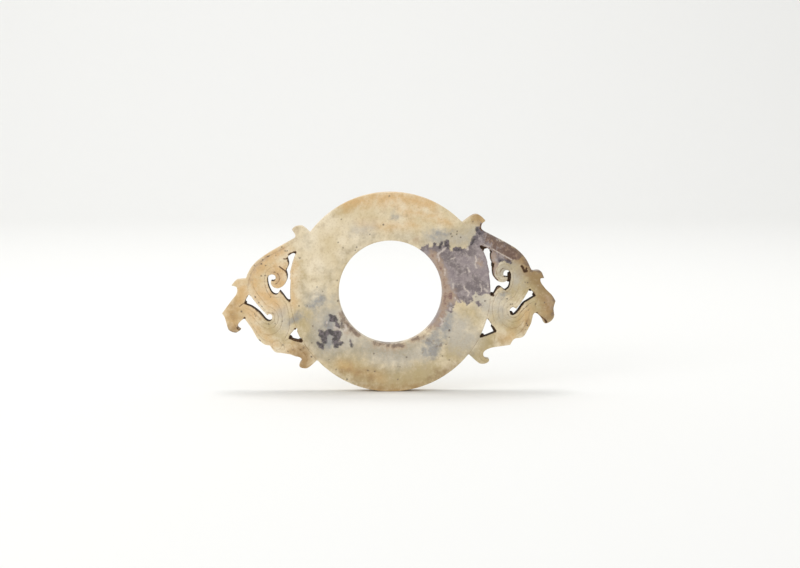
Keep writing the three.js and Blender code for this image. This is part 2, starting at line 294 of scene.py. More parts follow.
# The great stain between the hole and the right bird's back, as an outline
GREAT_STAIN_SHARES = [
    (0.3, 0.43), (0.335, 0.475), (0.37, 0.48), (0.385, 0.45), (0.42, 0.455), (0.43, 0.495), (0.45, 0.49),
    (0.455, 0.465), (0.485, 0.47), (0.5, 0.505), (0.515, 0.5), (0.52, 0.47), (0.545, 0.49), (0.555, 0.52),
    (0.575, 0.515), (0.585, 0.48), (0.57, 0.45), (0.585, 0.43), (0.6, 0.41), (0.62, 0.42), (0.635, 0.455),
    (0.68, 0.46), (0.7, 0.425), (0.715, 0.41), (0.74, 0.44), (0.76, 0.435), (0.77, 0.46), (0.79, 0.48),
    (0.81, 0.5), (0.82, 0.53), (0.84, 0.54), (0.86, 0.57), (0.855, 0.6), (0.85, 0.625), (0.865, 0.645),
    (0.89, 0.66), (0.9, 0.7), (0.95, 0.66), (1.05, 0.57), (1.1, 0.52), (1.17, 0.48), (1.21, 0.46),
    (1.25, 0.425), (1.285, 0.39), (1.295, 0.35), (1.25, 0.325), (1.205, 0.325), (1.195, 0.295),
    (1.17, 0.29), (1.14, 0.305), (1.1, 0.305), (1.075, 0.28), (1.055, 0.25), (1.05, 0.2), (1.06, 0.14),
    (1.08, 0.1), (1.04, 0.06), (1.02, -0.01), (1, -0.03), (0.93, -0.02), (0.885, -0.02), (0.85, -0.01),
    (0.82, -0.03), (0.83, -0.06), (0.835, -0.09), (0.8, -0.105), (0.76, -0.12), (0.73, -0.095),
    (0.69, -0.1), (0.66, -0.085), (0.655, -0.1), (0.635, -0.13), (0.625, -0.18), (0.6, -0.205),
    (0.57, -0.195), (0.55, -0.2), (0.54, -0.25), (0.53, -0.3), (0.505, -0.34), (0.46, -0.35),
    (0.43, -0.34), (0.36, -0.38), (0.45, -0.2), (0.48, 0), (0.45, 0.17), (0.38, 0.3), (0.3, 0.38),
]

# Smaller marks in the stone, each a radius and the run that it follows
MARK_SHARES = {
    # Pieces of the great stain that stand alone
    "stain": [
        (0.014, [(0.855, -0.108), (0.88, -0.118), (0.912, -0.13)]),
        (0.01, [(0.845, -0.1)]),
    ],
    # Where the great stain is deepest
    "deep": [
        (0.03, [(0.32, 0.445), (0.36, 0.46)]),
        (0.03, [(0.44, 0.49), (0.435, 0.455)]),
        (0.034, [(0.505, 0.49), (0.495, 0.44), (0.45, 0.42)]),
        (0.038, [(0.565, 0.505), (0.55, 0.465)]),
        (0.018, [(0.57, 0.43), (0.56, 0.4)]),
        (0.034, [(0.645, 0.43), (0.675, 0.43)]),
        (0.02, [(0.625, 0.4), (0.7, 0.395), (0.75, 0.4)]),
        (0.045, [(0.54, 0.365), (0.6, 0.34)]),
        (0.03, [(0.58, 0.31), (0.62, 0.3), (0.66, 0.26)]),
        (0.034, [(0.675, 0.24), (0.69, 0.21)]),
        (0.02, [(0.75, 0.225), (0.76, 0.205)]),
        (0.036, [(0.78, 0.45), (0.82, 0.42), (0.8, 0.39)]),
        (0.03, [(0.85, 0.55), (0.83, 0.5)]),
        (0.03, [(0.85, 0.13), (0.87, 0.1), (0.84, 0.08)]),
        (0.036, [(0.77, 0.05), (0.83, 0.045), (0.88, 0.03)]),
        (0.024, [(0.935, 0.085), (0.945, 0.06)]),
        (0.03, [(0.68, 0.06), (0.67, 0.02)]),
        (0.028, [(0.67, -0.05), (0.72, -0.065)]),
        (0.03, [(0.76, -0.085), (0.81, -0.08)]),
        (0.022, [(0.58, -0.12), (0.61, -0.15), (0.6, -0.185)]),
        (0.014, [(0.97, -0.018), (0.995, -0.02)]),
        (0.018, [(0.872, -0.115), (0.905, -0.128)]),
        (0.03, [(1.02, 0.57), (1.08, 0.53)]),
        (0.03, [(0.89, 0.58), (0.94, 0.53), (0.97, 0.49)]),
        (0.034, [(1.08, 0.33), (1.13, 0.33), (1.18, 0.31)]),
    ],
    # Purple-black marks
    "dark": [
        (0.036, [(-0.572, -0.264), (-0.552, -0.267)]),
        (0.012, [(-0.604, -0.228), (-0.585, -0.245)]),
        (0.017, [(-0.542, -0.295), (-0.533, -0.325), (-0.518, -0.345)]),
        (0.011, [(-0.518, -0.347), (-0.499, -0.335), (-0.488, -0.305)]),
        (0.012, [(0.438, 0.485), (0.43, 0.465)]),
        (0.015, [(0.512, 0.5), (0.497, 0.47), (0.49, 0.445)]),
        (0.024, [(0.563, 0.5), (0.568, 0.455)]),
        (0.022, [(0.65, 0.435), (0.69, 0.43)]),
        (0.018, [(0.81, 0.49), (0.84, 0.545)]),
        (0.014, [(1.085, 0.316), (1.12, 0.32), (1.16, 0.311), (1.19, 0.296)]),
        (0.015, [(-0.71, -0.382), (-0.69, -0.395)]),
        (0.034, [(-0.682, -0.42), (-0.668, -0.45), (-0.663, -0.48)]),
        (0.03, [(-0.652, -0.413), (-0.608, -0.393), (-0.57, -0.41)]),
        (0.034, [(-0.545, -0.413), (-0.52, -0.412)]),
        (0.036, [(-0.53, -0.44), (-0.545, -0.47)]),
        (0.027, [(-0.552, -0.5), (-0.541, -0.532)]),
        (0.017, [(-0.52, -0.518), (-0.486, -0.507)]),
        (0.016, [(-0.724, -0.507), (-0.705, -0.522)]),
        (0.027, [(-0.691, -0.535)]),
        (0.017, [(-0.68, -0.557)]),
        (0.01, [(-0.4, -0.475), (-0.398, -0.5)]),
        (0.013, [(-0.394, -0.518), (-0.389, -0.537)]),
        (0.027, [(0.865, 0.63), (0.885, 0.615), (0.9, 0.595)]),
    ],
    # Soft brown-grey smudges, most of them at the hole's lower edge. The two along the right bird's wing
    # top edge are painted shadow beside its carved contour.
    "smudge": [
        (0.02, [(-0.482, -0.214), (-0.465, -0.27)]),
        (0.015, [(-0.458, -0.3), (-0.413, -0.357), (-0.36, -0.4), (-0.33, -0.418)]),
        (0.032, [(-0.52, -0.35), (-0.492, -0.333), (-0.48, -0.3), (-0.47, -0.27)]),
        (0.012, [(-0.622, -0.326)]),
        (0.016, [(-0.15, -0.508), (-0.115, -0.518), (-0.06, -0.52), (-0.01, -0.523)]),
        (0.017, [(0.02, -0.535), (0.06, -0.535), (0.1, -0.53)]),
        (0.009, [(0.23, -0.47), (0.285, -0.46), (0.33, -0.443)]),
        (0.013, [(0.37, -0.472), (0.385, -0.473)]),
        (0.018, [(0.485, -0.54), (0.495, -0.535)]),
        (0.014, [(0.435, -0.49)]),
        # Painted shadow beside the carved contour of the right bird's wing top edge
        (0.013, [(0.91, 0.625), (0.95, 0.59), (1, 0.558), (1.05, 0.53), (1.1, 0.508), (1.16, 0.48)]),
        (0.015, [(1.16, 0.48), (1.23, 0.438), (1.3, 0.38), (1.36, 0.31), (1.405, 0.237)]),
        (0.014, [(1.41, 0.216), (1.476, 0.218), (1.518, 0.188), (1.535, 0.137)]),
        (0.016, [(1.61, 0.02), (1.65, -0.04), (1.658, -0.13), (1.618, -0.217)]),
        (0.009, [(-1.63, -0.362), (-1.6, -0.392), (-1.555, -0.4)]),
    ],
    # Umber patches on the right bird's wing
    "umber": [
        (0.035, [(0.96, 0.545), (1.01, 0.52)]),
        (0.045, [(1.03, 0.5), (1.09, 0.47)]),
        (0.035, [(1.03, 0.455), (1.1, 0.42)]),
        (0.06, [(1.13, 0.41), (1.19, 0.375)]),
        (0.055, [(1.19, 0.45), (1.25, 0.415)]),
        (0.055, [(1.258, 0.375), (1.268, 0.345)]),
    ],
    # Rust-brown marks, most of them along the edge of the hole. Two on the left bird, along its wing's back
    # line and round the hollow of its curl, are painted shadow.
    "rust": [
        (0.055, [(0.59, -0.02), (0.605, -0.055)]),
        (0.036, [(0.42, 0.37), (0.47, 0.3), (0.52, 0.2), (0.54, 0.1), (0.545, 0), (0.545, -0.1),
                 (0.52, -0.2)]),
        (0.024, [(0.51, -0.24), (0.48, -0.3), (0.44, -0.335), (0.38, -0.375)]),
        (0.024, [(0.22, -0.478), (0.28, -0.46), (0.325, -0.445)]),
        (0.028, [(-0.48, -0.225), (-0.455, -0.29), (-0.42, -0.34), (-0.37, -0.39), (-0.33, -0.42)]),
        (0.014, [(-0.43, -0.37), (-0.43, -0.4)]),
        (0.03, [(-0.15, -0.52), (-0.07, -0.53), (0, -0.545)]),
        (0.028, [(0, -0.555), (0.06, -0.555), (0.12, -0.545)]),
        (0.016, [(1.03, 0.36), (1.035, 0.32), (1.045, 0.26), (1.055, 0.2)]),
        (0.012, [(1.565, -0.06), (1.6, -0.1), (1.605, -0.16)]),
        # Painted shadow along the back line of the left bird's wing
        (0.004, [(-1.06, 0.44), (-1.16, 0.385), (-1.22, 0.352), (-1.3, 0.3), (-1.36, 0.23), (-1.4, 0.15),
                 (-1.41, 0.08)]),
        # Painted shadow round the hollow of the left bird's curl
        (0.01, [(-1.16, 0.2), (-1.115, 0.175), (-1.108, 0.13), (-1.135, 0.09)]),
        (0.018, [(0.255, 0.525), (0.27, 0.53)]),
        (0.015, [(0.87, 0.3), (0.9, 0.27)]),
    ],
    # Pale veins that cross the great stain
    "vein": [
        (0.009, [(0.47, 0.385), (0.495, 0.4), (0.52, 0.415), (0.548, 0.442)]),
        (0.007, [(0.472, 0.382), (0.485, 0.34), (0.483, 0.31)]),
        (0.007, [(0.845, 0.37), (0.855, 0.33), (0.843, 0.28), (0.86, 0.24)]),
        (0.008, [(0.77, 0.245), (0.787, 0.205)]),
        (0.007, [(0.742, 0.208), (0.748, 0.2)]),
        (0.006, [(0.54, 0.235), (0.545, 0.21), (0.54, 0.175)]),
        (0.007, [(0.73, 0.065), (0.74, 0.035), (0.77, 0.015), (0.785, -0.01), (0.775, -0.035)]),
        (0.007, [(0.895, 0.08), (0.91, 0.04), (0.905, 0.005)]),
        (0.008, [(0.965, 0.09), (0.975, 0.055)]),
        (0.01, [(0.94, 0.03), (0.965, 0.01)]),
        (0.007, [(0.645, -0.055), (0.67, -0.085), (0.69, -0.1)]),
        (0.008, [(0.5, -0.26), (0.515, -0.285), (0.52, -0.31), (0.5, -0.335)]),
        (0.009, [(0.595, -0.175), (0.6, -0.15)]),
        (0.012, [(0.765, 0.425), (0.77, 0.44)]),
        (0.006, [(0.6, 0.33), (0.64, 0.345)]),
        (0.007, [(0.627, 0.09), (0.622, 0.047)]),
        (0.01, [(-0.45, -0.33), (-0.44, -0.36), (-0.46, -0.38)]),
        (0.01, [(-0.5, -0.376), (-0.53, -0.362), (-0.56, -0.348)]),
        (0.01, [(-0.632, -0.3)]),
    ],
    # The worn, pale edge of the deep line on the right bird's wing
    "ridge": [
        (0.006, DEEP_LINE_SHARES[RIGHT_BIRD][0][1:]),
    ],
}

# Soft clouds in the stone's colour, each a radius and the run that it follows
CLOUD_SHARES = {
    # Blue-grey clouds
    "grey": [
        (0.07, [(0.4, -0.5), (0.46, -0.47), (0.47, -0.53), (0.4, -0.58)]),
        (0.025, [(-0.8, -0.15), (-0.75, -0.11), (-0.69, -0.08)]),
        (0.02, [(-0.95, -0.28), (-0.92, -0.25), (-0.89, -0.22)]),
        (0.012, [(0.03, 0.77), (0.06, 0.75)]),
        (0.04, [(0.86, 0.53), (0.93, 0.54)]),
        (0.03, [(0.97, 0.35), (0.975, 0.2), (0.97, 0.1)]),
        (0.025, [(1.11, -0.03), (1.13, -0.01)]),
        (0.03, [(0.46, 0.57), (0.52, 0.59)]),
        (0.045, [(-0.62, -0.3), (-0.6, -0.34)]),
        (0.045, [(0.57, -0.27), (0.56, -0.35)]),
        (0.04, [(-0.62, -0.48), (-0.6, -0.52)]),
    ],
    # Drab, shaded ground round the marks and along the hole
    "drab": [
        (0.09, [(-0.8, -0.5), (-0.72, -0.58), (-0.6, -0.62)]),
        (0.05, [(-0.6, -0.62), (-0.45, -0.6), (-0.3, -0.58), (-0.12, -0.6), (0.05, -0.6), (0.15, -0.58),
                (0.28, -0.52)]),
        (0.01, [(-0.64, -0.68)]),
        (0.01, [(-0.3, -0.8), (-0.12, -0.78)]),
        (0.01, [(-0.68, 0.15), (-0.66, 0), (-0.66, -0.2), (-0.68, -0.38)]),
        (0.01, [(-0.68, 0.22), (-0.6, 0.2), (-0.58, 0), (-0.58, -0.15)]),
        (0.03, [(-0.05, -0.62), (0.15, -0.62)]),
        (0.03, [(0.32, -0.5), (0.48, -0.5)]),
        (0.01, [(-0.36, -0.86), (-0.12, -0.84), (0.1, -0.76)]),
        (0.01, [(0.93, 0.45), (1.06, 0.34)]),
        (0.04, [(-0.88, 0.04), (-0.83, -0.04)]),
        (0.01, [(-0.84, 0.56), (-0.82, 0.46)]),
        (0.03, [(1.08, 0.2), (1.12, 0.25), (1.18, 0.26)]),
        (0.01, [(-0.5, 0.25), (-0.45, 0.38), (-0.36, 0.46)]),
        (0.025, [(-0.36, 0.46), (-0.3, 0.5)]),
        (0.01, [(-0.3, 0.5), (-0.12, 0.56)]),
        (0.03, [(0.05, 0.57), (0.2, 0.55), (0.33, 0.49)]),
        (0.02, [(1.04, -0.5), (1.12, -0.48)]),
        (0.02, [(0.83, -0.64), (0.84, -0.72)]),
    ],
    # Pale grey ground round the marks and on the birds' breasts
    "pale": [
        (0.18, [(-0.62, -0.46), (-0.6, -0.3), (-0.5, -0.34), (-0.47, -0.44)]),
        (0.12, [(0.58, -0.3), (0.6, -0.4), (0.68, -0.34), (0.66, -0.45)]),
        (0.1, [(0.72, -0.5), (0.8, -0.47)]),
        (0.1, [(0.3, -0.6), (0.1, -0.65), (-0.1, -0.6), (-0.25, -0.55)]),
        (0.06, [(0.4, 0.55), (0.55, 0.53), (0.75, 0.55), (0.82, 0.6)]),
        (0.09, [(0.88, -0.06), (0.97, -0.13)]),
        (0.03, [(-0.35, 0.63), (-0.2, 0.64)]),
        (0.06, [(-0.78, -0.1), (-0.7, -0.06), (-0.6, -0.1)]),
        (0.06, [(1.2, 0.18), (1.27, 0.12), (1.12, 0.22)]),
        (0.03, [(1.08, 0.22), (1.1, 0.15), (1.15, 0.12)]),
        (0.03, [(1.22, 0.29), (1.28, 0.26), (1.3, 0.18)]),
        (0.06, [(1.08, -0.1), (1.12, -0.22)]),
        (0.05, [(-1.09, -0.22), (-1.06, -0.32)]),
    ],
    # Olive ground, most of it at the foot of the ring and on the right bird
    "olive": [
        (0.13, [(-0.45, -0.75), (-0.15, -0.88), (0.15, -0.88), (0.4, -0.78)]),
        (0.12, [(0.6, -0.6), (0.75, -0.55)]),
        (0.1, [(-0.9, -0.3), (-0.8, -0.4), (-0.82, -0.2)]),
        (0.12, [(1.25, 0.3), (1.35, 0.1), (1.25, 0.05)]),
        (0.07, [(1.12, -0.28), (1.2, -0.35), (1.35, -0.2)]),
        (0.2, [(1.42, 0.08), (1.47, 0), (1.52, -0.15)]),
        (0.11, [(0.95, -0.5), (0.9, -0.65), (1, -0.7)]),
        (0.08, [(0.82, 0.72), (0.9, 0.72)]),
        (0.1, [(0.7, 0.55), (0.6, 0.5), (0.8, 0.6)]),
        (0.04, [(-1.25, -0.3), (-1.1, -0.45), (-0.95, -0.55)]),
        (0.04, [(-1.52, -0.05), (-1.53, -0.25)]),
        (0.01, [(-0.9, 0.3), (-0.87, 0.15)]),
        (0.03, [(0.76, -0.22), (0.82, -0.2), (0.88, -0.26), (0.8, -0.36)]),
        (0.02, [(-0.5, 0.8), (-0.3, 0.9)]),
    ],
    # Honey-coloured skin of the stone
    "honey": [
        (0.03, [(-0.5, -0.72), (-0.35, -0.8), (-0.1, -0.86)]),
        (0.05, [(-0.25, -1.01), (0, -1.03), (0.25, -1.01)]),
        (0.055, [(-0.45, 0.88), (-0.2, 0.94), (0.1, 0.95), (0.4, 0.88)]),
        (0.01, [(-0.3, 0.68), (0, 0.65), (0.25, 0.68)]),
        (0.01, [(0.1, 0.82), (0.35, 0.78), (0.58, 0.7)]),
        (0.03, [(-0.97, 0.28), (-0.99, 0.1), (-0.97, -0.1)]),
        (0.055, [(-1.08, 0.42), (-1.22, 0.33), (-1.33, 0.2)]),
        (0.06, [(-1.35, 0.1), (-1.3, -0.02)]),
        (0.08, [(-1.28, -0.02), (-1.2, -0.06), (-1.14, -0.12)]),
        (0.05, [(-1.43, -0.13), (-1.38, -0.2), (-1.37, -0.26)]),
        (0.07, [(-1.48, 0.05), (-1.5, -0.08), (-1.58, -0.2), (-1.56, -0.33)]),
        (0.1, [(-1.12, 0.2), (-1.1, 0.1)]),
        (0.015, [(-1.38, -0.3), (-1.28, -0.42), (-1.15, -0.52)]),
        (0.06, [(-0.97, -0.58), (-0.88, -0.62), (-0.87, -0.73)]),
        (0.04, [(0.84, 0.76), (0.9, 0.74)]),
        (0.015, [(1.28, 0.36), (1.36, 0.25)]),
        (0.02, [(1.55, -0.06), (1.56, -0.2)]),
        (0.025, [(1.35, -0.2), (1.34, -0.33)]),
        (0.03, [(1.12, -0.48), (1.2, -0.45)]),
    ],
    # Brown skin, darker than honey
    "brown": [
        (0.005, [(-0.5, -0.8), (-0.33, -0.79), (-0.2, -0.87)]),
        (0.003, [(-0.3, -0.94), (0, -0.98), (0.3, -0.94)]),
        (0.03, [(0.42, -0.88), (0.55, -0.81), (0.65, -0.74)]),
        (0.075, [(-0.92, -0.61), (-0.88, -0.66), (-0.88, -0.74)]),
        (0.095, [(1.26, 0.46), (1.32, 0.385), (1.375, 0.285), (1.42, 0.215), (1.5, 0.175)]),
        (0.09, [(1.46, 0.15), (1.53, 0.08), (1.59, 0), (1.625, -0.06), (1.63, -0.13)]),
        (0.08, [(1.56, -0.05), (1.57, -0.14)]),
        (0.06, [(1.62, -0.16), (1.62, -0.24), (1.57, -0.26)]),
        (0.012, [(1.32, -0.38), (1.37, -0.31)]),
        (0.04, [(-1.6, -0.36), (-1.54, -0.37)]),
        (0.015, [(-1.56, -0.12), (-1.57, -0.25)]),
        (0.04, [(0.82, 0.78), (0.88, 0.76)]),
        (0.02, [(-1.02, 0.55), (-0.95, 0.62)]),
    ],
}

# How each mark shows: the noise that frays its edge, how far it does and half the width of the soft edge,
# both in millimetres, and the mark's strength
MARK_EDGES = {
    "olive": ("mottle", 8, 3, 0.65),
    "honey": ("mottle", 8, 3, 0.85),
    "pale": ("mottle", 8, 3, 0.75),
    "drab": ("mottle", 8, 3, 0.42),
    "brown": ("mottle", 6, 2.4, 0.7),
    "grey": ("mottle", 8, 1.8, 0.75),
    "deep": ("fray", 5, 0.8, 0.72),
    "umber": ("fray", 5, 0.7, 0.92),
    "stain": ("fray", 3, 0.25, 0.95),
    "rust": ("fray", 4, 1.1, 0.75),
    "smudge": ("fray", 4, 0.6, 0.75),
    "dark": ("fray", 1.6, 0.3, 0.93),
    # The lines are painted brown, partly as soil in them and partly as painted shade of the grooves
    "line": ("grain", 0.3, 0.22, 0.65),
    "vein": ("grain", 1.2, 0.2, 0.72),
    "ridge": ("grain", 0.4, 0.16, 0.75),
    "pit": ("grain", 0.6, 0.2, 0.85),
    "soil": ("grain", 0.5, 0.14, 1),
}

# The noises that break up the stone: the size of their clouds in millimetres, their detail and their swirl.
# The tooth is coarser than the real marks of the polish, so that it shows.
NOISES = {
    "broad": (9, 3, 0),
    "mottle": (2.6, 5, 0),
    "fibre": (2, 5, 3),
    "fray": (1.1, 5, 0),
    "chip": (0.9, 3, 0),
    "grain": (0.6, 4, 0),
    "tooth": (0.22, 2, 0),
}

# Turns from one colour to another: the noise that each follows, or the mark, whose depth is in millimetres,
# then the value where the turn starts, the value where it is full and its strength
TURNS = {
    "tan_clouds": ("broad", 0.34, 0.72, 1),
    "tan_mottle": ("mottle", 0.4, 0.7, 0.25),
    "cream_chips": ("chip", 0.5, 0.75, 0.2),
    "freckles": ("grain", 0.46, 0.78, 0.4),
    "stain_clouds": ("fray", 0.25, 0.75, 1),
    "stain_mottle": ("mottle", 0.42, 0.68, 0.6),
    "stain_fibres": ("fibre", 0.52, 0.72, 0.35),
    "umber_chips": ("chip", 0.48, 0.66, 0.45),
    "dark_chips": ("chip", 0.4, 0.62, 0.55),
    "rust_core": ("rust", 0.6, 1.9, 1),
    "thick_soil": ("soil", 0.1, 0.3, 1),
}

# The stone's colours from the bottom up: the ground of each, then the layers over it. A layer is a mark or
# a turn with the colour that it brings, which may be built up of layers too.
COLOUR_LAYERS = {
    # Cream and tan in broad clouds, broken by a mottle and by freckles, under stains, dirt, soil and
    # painted shade
    "stone": ("cream", [
        ("tan_clouds", "tan"), ("tan_mottle", "tan"),
        ("olive", "olive"), ("honey", "honey"), ("pale", "pale"), ("drab", "drab"), ("brown", "brown"),
        ("grey", "grey"), ("cream_chips", "cream"), ("freckles", "freckle"),
        # The rust and smudge layers also hold painted shadows: along the left bird's wing line and curl,
        # and beside the right bird's wing top edge
        ("stain", "great_stain"), ("rust", "rusty_mark"), ("smudge", "smudge"), ("dark", "dark_mark"),
        # The lines take the brown skin's colour, partly as soil in them and partly as painted shade of the
        # grooves
        ("line", "brown"), ("vein", "vein"), ("ridge", "vein"), ("pit", "pit"), ("soil", "packed_soil"),
    ]),
    # Mauve-grey, dark and pale in turn, with umber on the right bird's wing
    "great_stain": ("stain_light", [
        ("stain_clouds", "stain_deep"), ("stain_mottle", "stain_deep"), ("deep", "deep"),
        ("stain_fibres", "vein"), ("umber", "leathery"),
    ]),
    "leathery": ("umber", [("umber_chips", "rust")]),
    "rusty_mark": ("rust", [("rust_core", "core")]),
    "dark_mark": ("dark", [("dark_chips", "stain_deep")]),
    "packed_soil": ("crust", [("thick_soil", "soil")]),
}

# The lamps: where each stands, what it shines at and the length of its side, in metres
LAMPS = {
    "top_lamp": ((-0.06, 0.1, 0.85), RING_CENTRE, 0.32),
    "front_lamp": ((-0.45, -0.55, 0.24), RING_CENTRE, 0.4),
    "wall_lamp": ((-0.2, 0.5, 1.2), (-0.1, 1.4, 0.5), 1),
}


def metres(name, description, default):
    """A length that the user can change, in metres."""
    return bpy.props.FloatProperty(
        name=name, description=description, default=default, min=0, precision=5, unit="LENGTH"
    )


def linear(hex_colour):
    """The linear colour, with full alpha, of a hex value in sRGB."""
    knee, slope, offset, gamma = 0.04045, 12.92, 0.055, 2.4
    shares = [byte / 255 for byte in bytes.fromhex(hex_colour.lstrip("#"))]
    return (
        *(
            share / slope if share <= knee else ((share + offset) / (1 + offset)) ** gamma
            for share in shares
        ),
        1,
    )


def tone(name, description, hex_colour):
    """A colour that the user can change."""
    return bpy.props.FloatVectorProperty(
        name=name, description=description, default=linear(hex_colour), size=4, min=0, max=1,
        subtype="COLOR"
    )


class PendantSizes(bpy.types.PropertyGroup):
    """Sizes of the carving and the wear."""

    ring_step: metres("Ring mesh step", "Distance between the points of the ring's surface", 0.24 * MM)
    bird_step: metres("Bird mesh step", "Distance between the points of a bird's surface", 0.145 * MM)
    wear: metres("Edge wear", "How far the worn polish rounds the edges", 0.32 * MM)
    deep_width: metres("Deep line width", "Width of the lines that are cut deep", 0.55 * MM)
    deep_depth: metres("Deep line depth", "Depth of the lines that are cut deep", 0.16 * MM)
    fine_width: metres("Fine line width", "Width of the scratched lines", 0.42 * MM)
    fine_depth: metres("Fine line depth", "Depth of the scratched lines", 0.13 * MM)
    pit_depth: metres("Pit depth", "Depth of the pits in the faces", 0.15 * MM)


class PendantColours(bpy.types.PropertyGroup):
    """Colours of the stone and of what has soaked into it."""

    cream: tone("Cream", "The stone where it is palest", "#EADCC0")
    tan: tone("Tan", "The stone where it is warmer", "#D3C098")
    freckle: tone("Freckle", "Fine freckles all over the stone", "#A58756")
    honey: tone("Honey", "The stone's honey-coloured skin", "#D3A96B")
    # Also the brown of the lines, which is partly painted shade of the grooves
    brown: tone("Brown skin", "The darkest skin, on brow, nape and feet", "#825F2B")
    grey: tone("Grey cloud", "Blue-grey clouds in the stone", "#85878B")
    pale: tone("Pale grey", "Pale grey ground round the marks", "#B7B2A8")
    drab: tone("Drab", "Shaded ground round the marks and the hole", "#7F7456")
    stain_light: tone("Light stain", "The great stain where it is pale", "#A19694")
    stain_deep: tone("Dark stain", "The great stain where it is dark", "#7D7076")
    deep: tone("Deep stain", "The marks where the great stain is deepest", "#5B5054")
    # Also the colour of the painted shadow beside the right bird's wing top edge
    smudge: tone("Smudge", "Soft smudges along the edges", "#6B584A")
    dark: tone("Dark mark", "Purple-black marks", "#30282B")
    olive: tone("Olive", "The stone's olive ground", "#9F8A50")
    umber: tone("Umber", "Umber patches on the wing", "#5C3D2E")
    pit: tone("Pit", "Dirt in the pits", "#4E3D30")
    # Also the colour of the painted shadow along the left bird's wing line and round its curl
    rust: tone("Rust", "Rust-brown marks at their edge", "#B3977A")
    core: tone("Rust core", "Rust-brown marks at their middle", "#7A5040")
    vein: tone("Vein", "Pale veins in the great stain", "#D0C3B8")
    crust: tone("Crust", "Soil on the walls of the openings where it is thin", "#684A2A")
    soil: tone("Soil", "Soil on the walls of the openings where it is thick", "#3A2306")
    floor: tone("Floor", "Floor and backdrop", "#F0F0EE")


def power(name, description, default):
    """The power of a lamp that the user can change, in watts."""
    return bpy.props.FloatProperty(name=name, description=description, default=default, min=0, unit="POWER")


def angle(name, description, degrees):
    """An angle that the user can change."""
    return bpy.props.FloatProperty(
        name=name, description=description, default=math.radians(degrees), subtype="ANGLE", unit="ROTATION"
    )


class PendantStage(bpy.types.PropertyGroup):
    """Camera, lamps and floor."""

    distance: metres("Camera distance", "From the camera to the point that it looks at", 500.6 * MM)
    aim_across: metres("Aim across", "How far to the right of the ring's centre the camera looks", 2.9 * MM)
    aim_up: metres("Aim up", "How far above the ring's centre the camera looks", 2.3 * MM)
    elevation: angle("Elevation", "Height of the camera as an angle", 5.5)
    turn: angle("Turn", "Angle of the camera round the pendant, to the left", 1)
    focal_length: bpy.props.FloatProperty(
        name="Focal length", description="Focal length of the lens in millimetres", default=75, min=1,
        unit="CAMERA"
    )
    top_lamp: power("Top lamp", "Power of the lamp above the pendant", 2.2)
    front_lamp: power("Front lamp", "Power of the lamp in front of the pendant", 1.42)
    wall_lamp: power("Wall lamp", "Power of the lamp that lights the backdrop", 4.4)
    sky: bpy.props.FloatProperty(
        name="Sky", description="Strength of the even light from all round", default=0.72, min=0, max=1,
        subtype="FACTOR"
    )


def deselect_all():
    """Leaves nothing selected, as every operator acts on all that is."""
    bpy.ops.object.select_all(action="DESELECT")


def make_active(piece):
    """Selects one piece alone and makes it the active one."""
    deselect_all()
    piece.select_set(True)
    bpy.context.view_layer.objects.active = piece


def shape(piece, kind, **settings):
    """Adds a modifier with its settings and applies it."""
    make_active(piece)
    modifier = piece.modifiers.new(kind.lower(), kind)
    for name, value in settings.items():
        setattr(modifier, name, value)
    if "FINISHED" not in bpy.ops.object.modifier_apply(modifier=modifier.name):
        raise RuntimeError(f"the {kind} modifier was not applied to {piece.name}")


def place(across_share, up_share, y):
    """The point on the stone at shares of the ring's radius from its centre, at a depth y."""
    return Vector((RING_CENTRE.x + across_share * RING_RADIUS, y, RING_CENTRE.z + up_share * RING_RADIUS))


def merged_copy(node):
    """A copy of a node's mesh with its doubles merged."""
    merge_distance = 0.001 * MM
    copy = bpy.data.objects.new(node + "_copy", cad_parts[node].data.copy())
    bpy.context.collection.objects.link(copy)
    make_active(copy)
    bpy.ops.object.mode_set(mode="EDIT")
    bpy.ops.mesh.select_all(action="SELECT")
    bpy.ops.mesh.remove_doubles(threshold=merge_distance)
    bpy.ops.object.mode_set(mode="OBJECT")
    return copy


def remove(*pieces):
    """Deletes helper objects."""
    for piece in pieces:
        bpy.data.objects.remove(piece)


def disc(name, across_share, up_share, radius, depth, sides):
    """A disc whose axis goes through the plate."""
    deselect_all()
    bpy.ops.mesh.primitive_cylinder_add(
        vertices=sides, radius=radius, depth=depth, location=place(across_share, up_share, RING_CENTRE.y),
        rotation=(math.pi / 2, 0, 0)
    )
    made = bpy.context.object
    made.name = name
    return made


def discs_along(name, marks, depth):
    """Discs in a row along each mark's run, close enough to read as one ridge."""
    sides = 14
    discs = []
    for radius, run in marks:
        points = [np.array(run[0])]
        for end in map(np.array, run[1:]):
            steps = math.ceil(np.linalg.norm(end - points[-1]) / (radius / 2))
            points += list(np.linspace(points[-1], end, steps + 1)[1:])
        discs += [disc(name, *point, radius * RING_RADIUS, depth, sides) for point in points]
    return discs


def worn_blank(nodes, step, wear):
    """Nodes joined into one worn stone, with what the saw spared and the soil in its corners."""
    soil_depth_share = 0.62
    smooth_factor = 0.5
    blank = merged_copy(nodes[0])
    for node in nodes[1:]:
        neighbour = merged_copy(node)
        shape(blank, "BOOLEAN", operation="UNION", solver="EXACT", object=neighbour)
        remove(neighbour)
    additions = []
    for node in nodes:
        additions += discs_along("soil", CORNER_SOIL_SHARES[node], soil_depth_share * THICKNESS)
        additions += discs_along("spared_stone", SPARED_STONE_SHARES[node], THICKNESS)
    make_active(blank)
    for addition in additions:
        addition.select_set(True)
    bpy.ops.object.join()
    shape(blank, "REMESH", mode="VOXEL", voxel_size=step, adaptivity=0)
    shape(blank, "SMOOTH", factor=smooth_factor, iterations=max(1, round((wear / step) ** 2)))
    return blank


def cut_at_rim(blank, operation):
    """Parts ring and birds at the ring's rim. The cutter is a hair wider, to leave no skin on the rim."""
    cutter_sides = 360
    hair = 0.03 * MM
    cutter = disc("rim_cutter", 0, 0, RING_RADIUS + hair, 2 * THICKNESS, cutter_sides)
    shape(blank, "BOOLEAN", operation=operation, solver="MANIFOLD", object=cutter)
    remove(cutter)


